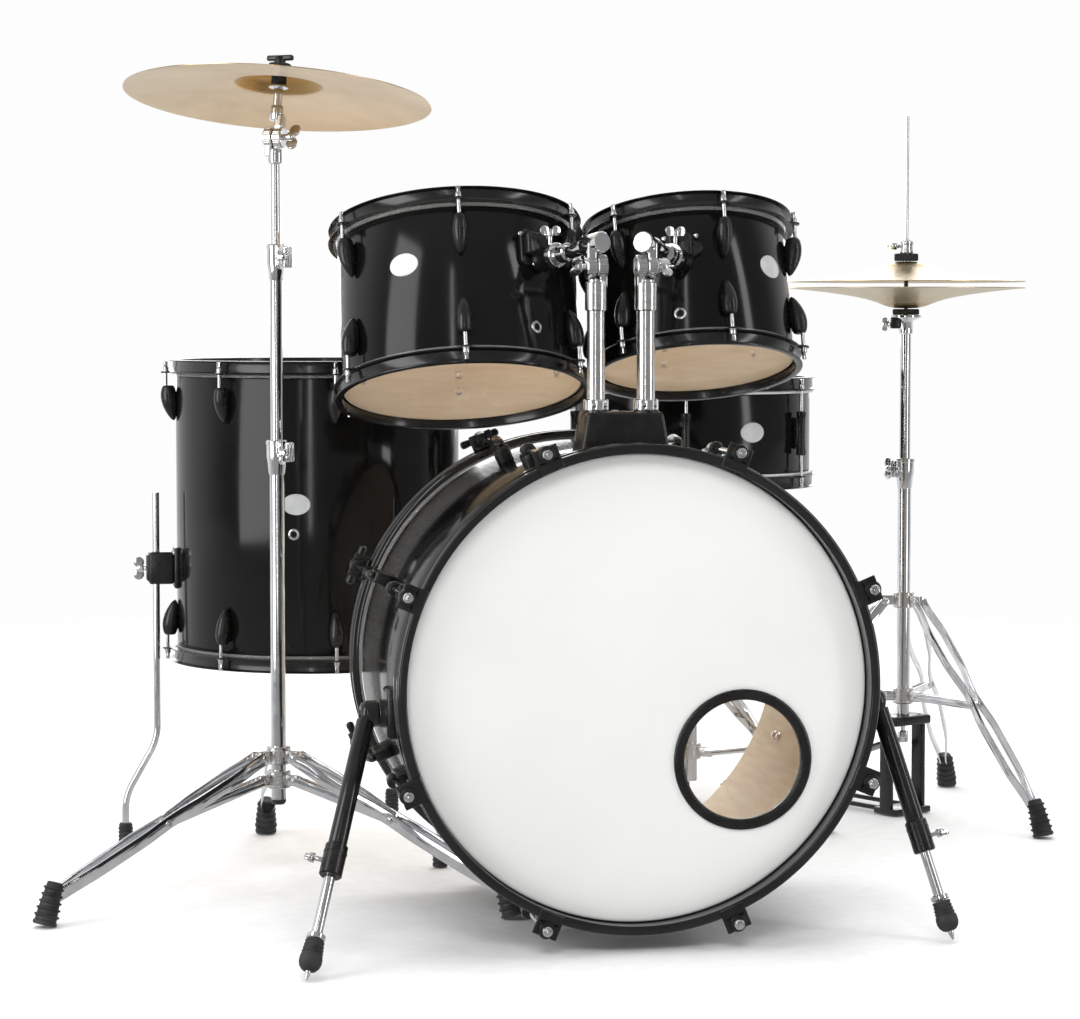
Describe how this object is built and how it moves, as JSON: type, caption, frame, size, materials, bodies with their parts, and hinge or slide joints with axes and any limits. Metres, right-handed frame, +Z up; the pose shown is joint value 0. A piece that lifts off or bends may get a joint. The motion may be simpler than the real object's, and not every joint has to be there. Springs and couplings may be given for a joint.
{
  "type": "acoustic drum kit",
  "caption": "Gloss black acoustic drum kit with rack toms on a bass drum, floor tom, snare on its stand, crash cymbal, hi-hat and bass pedal.",
  "frame": {"origin": "on the floor in the bass drum's upright middle plane, on the underside of the bass pedal's ground plate", "axes": "+Z up; +Y from the bass drum's front head towards the player; +X towards the hi-hat side"},
  "size_m": [1.5014, 1.3068, 1.0993],
  "materials": {
    "black_lacquer": "high-gloss black lacquer over pale timber ply",
    "black_hoop": "satin black lacquer",
    "coated_head": "smooth white drum film",
    "clear_head": "clear drum film",
    "black_metal": "satin black plating",
    "black_plastic": "black moulding",
    "chrome": "polished plate",
    "bronze": "lathed cymbal bronze"
  },
  "bodies": {
    "kit": {"bass_shell": "black_lacquer", "bass_hoops": "black_hoop", "bass_front_head": "coated_head", "bass_rear_head": "clear_head", "port_ring": "black_plastic", "bass_claws": "black_metal", "bass_rods": "chrome", "bass_lugs": "black_metal", "bass_brackets": "black_metal", "floor_tom_shell": "black_lacquer", "floor_tom_heads": "clear_head", "floor_tom_hoops": "black_metal", "floor_tom_rods": "chrome", "floor_tom_fittings": "black_metal", "floor_leg_brackets": "black_metal", "snare_stand": "chrome", "crash_stand": "chrome", "hihat_stand": "chrome", "bass_pedal_frame": "chrome"},
    "left_spur": {"left_spur_tube": "black_metal"},
    "left_spur_foot": {"left_spur_leg": "chrome"},
    "right_spur": {"right_spur_tube": "black_metal"},
    "right_spur_foot": {"right_spur_leg": "chrome"},
    "tom12_post": {"tom12_post": "chrome"},
    "tom12_arm": {"tom12_arm": "chrome"},
    "tom12": {"tom12_shell": "black_lacquer", "tom12_heads": "clear_head", "tom12_hoops": "black_metal", "tom12_rods": "chrome", "tom12_fittings": "black_metal"},
    "tom10_post": {"tom10_post": "chrome"},
    "tom10_arm": {"tom10_arm": "chrome"},
    "tom10": {"tom10_shell": "black_lacquer", "tom10_heads": "clear_head", "tom10_hoops": "black_metal", "tom10_rods": "chrome", "tom10_fittings": "black_metal"},
    "floor_leg_a": {"floor_leg_a": "chrome"},
    "floor_leg_b": {"floor_leg_b": "chrome"},
    "floor_leg_c": {"floor_leg_c": "chrome"},
    "snare": {"snare_basket": "chrome", "snare_shell": "black_lacquer", "snare_heads": "coated_head", "snare_hoops": "black_metal", "snare_rods": "chrome", "snare_fittings": "black_metal", "snare_wires": "chrome"},
    "snare_lever": {"snare_lever": "chrome"},
    "crash_middle": {"crash_middle_tube": "chrome"},
    "crash_upper": {"crash_upper_tube": "chrome"},
    "crash_head": {"crash_tilter": "chrome"},
    "crash_cymbal": {"crash_cymbal": "bronze"},
    "crash_nut": {"crash_wing_nut": "black_plastic"},
    "hat_tube": {"hihat_upper_tube": "chrome", "hihat_lower_cymbal": "bronze"},
    "hat_rod": {"hihat_pull_rod": "chrome", "hihat_upper_cymbal": "bronze"},
    "hat_board": {"hihat_footboard": "black_metal"},
    "pedal_board": {"bass_pedal_board": "black_metal"},
    "pedal_beater": {"bass_pedal_beater": "chrome"}
  },
  "joints": [
    {"name": "left_spur_fold", "type": "hinge", "parent": "kit", "child": "left_spur", "pos_m": [-0.316, -0.508, 0.282], "axis": [-1, 0, 0], "range_deg": [0, 50]},
    {"name": "left_spur_reach", "type": "slide", "parent": "left_spur", "child": "left_spur_foot", "axis": [0.2737, 0.5008, 0.8211], "range_m": [0, 0.035]},
    {"name": "right_spur_fold", "type": "hinge", "parent": "kit", "child": "right_spur", "pos_m": [0.316, -0.508, 0.282], "axis": [-1, 0, 0], "range_deg": [0, 50]},
    {"name": "right_spur_reach", "type": "slide", "parent": "right_spur", "child": "right_spur_foot", "axis": [-0.2292, 0.3078, 0.9234], "range_m": [0, 0.035]},
    {"name": "tom12_height", "type": "slide", "parent": "kit", "child": "tom12_post", "axis": [0, 0, 1], "range_m": [0, 0.08]},
    {"name": "tom12_tilt", "type": "hinge", "parent": "tom12_post", "child": "tom12_arm", "pos_m": [-0.031, -0.475, 0.815], "axis": [1, 0, 0], "range_deg": [0, 15]},
    {"name": "tom12_reach", "type": "slide", "parent": "tom12_arm", "child": "tom12", "axis": [-0.5043, 0.8451, -0.1772], "range_m": [0, 0.02]},
    {"name": "tom10_height", "type": "slide", "parent": "kit", "child": "tom10_post", "axis": [0, 0, 1], "range_m": [0, 0.08]},
    {"name": "tom10_tilt", "type": "hinge", "parent": "tom10_post", "child": "tom10_arm", "pos_m": [0.031, -0.475, 0.815], "axis": [1, 0, 0], "range_deg": [-5, 15]},
    {"name": "tom10_reach", "type": "slide", "parent": "tom10_arm", "child": "tom10", "axis": [0.5672, 0.8085, -0.1569], "range_m": [0, 0.02]},
    {"name": "floor_leg_a_slide", "type": "slide", "parent": "kit", "child": "floor_leg_a", "axis": [0, 0, 1], "range_m": [-0.04, 0.08]},
    {"name": "floor_leg_b_slide", "type": "slide", "parent": "kit", "child": "floor_leg_b", "axis": [0, 0, 1], "range_m": [-0.04, 0.08]},
    {"name": "floor_leg_c_slide", "type": "slide", "parent": "kit", "child": "floor_leg_c", "axis": [0, 0, 1], "range_m": [-0.04, 0.08]},
    {"name": "snare_height", "type": "slide", "parent": "kit", "child": "snare", "axis": [0, 0, 1], "range_m": [-0.03, 0.06]},
    {"name": "snare_release", "type": "hinge", "parent": "snare", "child": "snare_lever", "pos_m": [0.14436, 0.19136, 0.571], "axis": [0.7071, -0.7071, 0], "range_deg": [0, 90]},
    {"name": "crash_middle_slide", "type": "slide", "parent": "kit", "child": "crash_middle", "axis": [0, 0, 1], "range_m": [-0.03, 0.08]},
    {"name": "crash_upper_slide", "type": "slide", "parent": "crash_middle", "child": "crash_upper", "axis": [0, 0, 1], "range_m": [-0.03, 0.08]},
    {"name": "crash_tilt", "type": "hinge", "parent": "crash_upper", "child": "crash_head", "pos_m": [-0.378, -0.07, 0.99], "axis": [0.8415, -0.5402, 0], "range_deg": [-15, 20]},
    {"name": "crash_swing", "type": "hinge", "parent": "crash_head", "child": "crash_cymbal", "pos_m": [-0.37048, -0.05828, 1.07993], "axis": [0.8415, -0.5402, 0], "range_deg": [-6, 6]},
    {"name": "crash_nut_turn", "type": "hinge", "parent": "crash_head", "child": "crash_nut", "pos_m": [-0.36974, -0.05713, 1.08882], "axis": [0.0826, 0.1287, 0.9882], "continuous": true},
    {"name": "hat_height", "type": "slide", "parent": "kit", "child": "hat_tube", "axis": [0, 0, 1], "range_m": [-0.06, 0]},
    {"name": "hat_board_press", "type": "hinge", "parent": "kit", "child": "hat_board", "pos_m": [0.49663, 0.55074, 0.024], "axis": [0.8829, 0.4695, 0], "range_deg": [0, 2.05], "stiffness_Nm_per_rad": 14, "springref_deg": -28.65},
    {"name": "hat_rod_pull", "type": "slide", "parent": "kit", "child": "hat_rod", "axis": [0, 0, -1], "range_m": [0, 0.0082]},
    {"name": "pedal_board_press", "type": "hinge", "parent": "kit", "child": "pedal_board", "pos_m": [0, 0.126, 0.024], "axis": [1, 0, 0], "range_deg": [0, 12.2], "stiffness_Nm_per_rad": 4, "springref_deg": -20.05},
    {"name": "pedal_beater_swing", "type": "hinge", "parent": "kit", "child": "pedal_beater", "pos_m": [0, -0.113, 0.168], "axis": [1, 0, 0], "range_deg": [0, 49]}
  ],
  "couplings": [
    {"joint": "hat_rod_pull", "follows": "hat_board_press", "m_per_rad": 0.224},
    {"joint": "pedal_beater_swing", "follows": "pedal_board_press", "ratio": 4}
  ]
}
